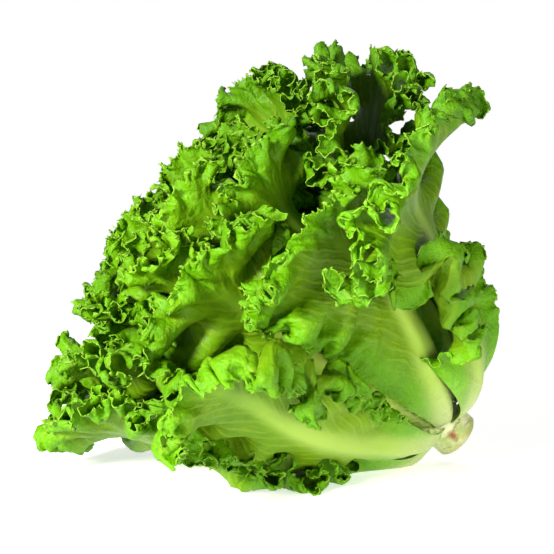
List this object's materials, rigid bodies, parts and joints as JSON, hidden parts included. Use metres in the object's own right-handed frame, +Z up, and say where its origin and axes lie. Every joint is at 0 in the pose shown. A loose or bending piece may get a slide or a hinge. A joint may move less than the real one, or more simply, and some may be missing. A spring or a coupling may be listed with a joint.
{
  "type": "green leaf lettuce",
  "caption": "Cut head of frilly green leaf lettuce lying on its side, waved leaves spreading from a pale cut stump.",
  "frame": {"origin": "on the surface that the head lies on, below the middle of its bounding box", "axes": "+Z up from that surface; +X towards the cut stump as seen from the front; -Y towards the viewer of the picture"},
  "size_m": [0.2718, 0.3134, 0.2597],
  "materials": {
    "outer_leaf": "satin, waxy leaf skin",
    "middle_leaf": "satin, waxy leaf skin",
    "heart_leaf": "satin, waxy leaf skin",
    "stump": "matte, moist cut flesh"
  },
  "bodies": {
    "root": {"outer_leaf_1": "outer_leaf", "outer_leaf_2": "outer_leaf", "outer_leaf_3": "outer_leaf", "outer_leaf_4": "outer_leaf", "outer_leaf_5": "outer_leaf", "outer_leaf_6": "outer_leaf", "outer_leaf_7": "outer_leaf", "outer_leaf_8": "outer_leaf", "middle_leaf_1": "middle_leaf", "middle_leaf_2": "middle_leaf", "middle_leaf_3": "middle_leaf", "middle_leaf_4": "middle_leaf", "middle_leaf_5": "middle_leaf", "middle_leaf_6": "middle_leaf", "middle_leaf_7": "middle_leaf", "middle_leaf_8": "middle_leaf", "heart_leaf_1": "heart_leaf", "heart_leaf_2": "heart_leaf", "heart_leaf_3": "heart_leaf", "heart_leaf_4": "heart_leaf", "heart_leaf_5": "heart_leaf", "heart_leaf_6": "heart_leaf", "stump": "stump"}
  },
  "joints": []
}
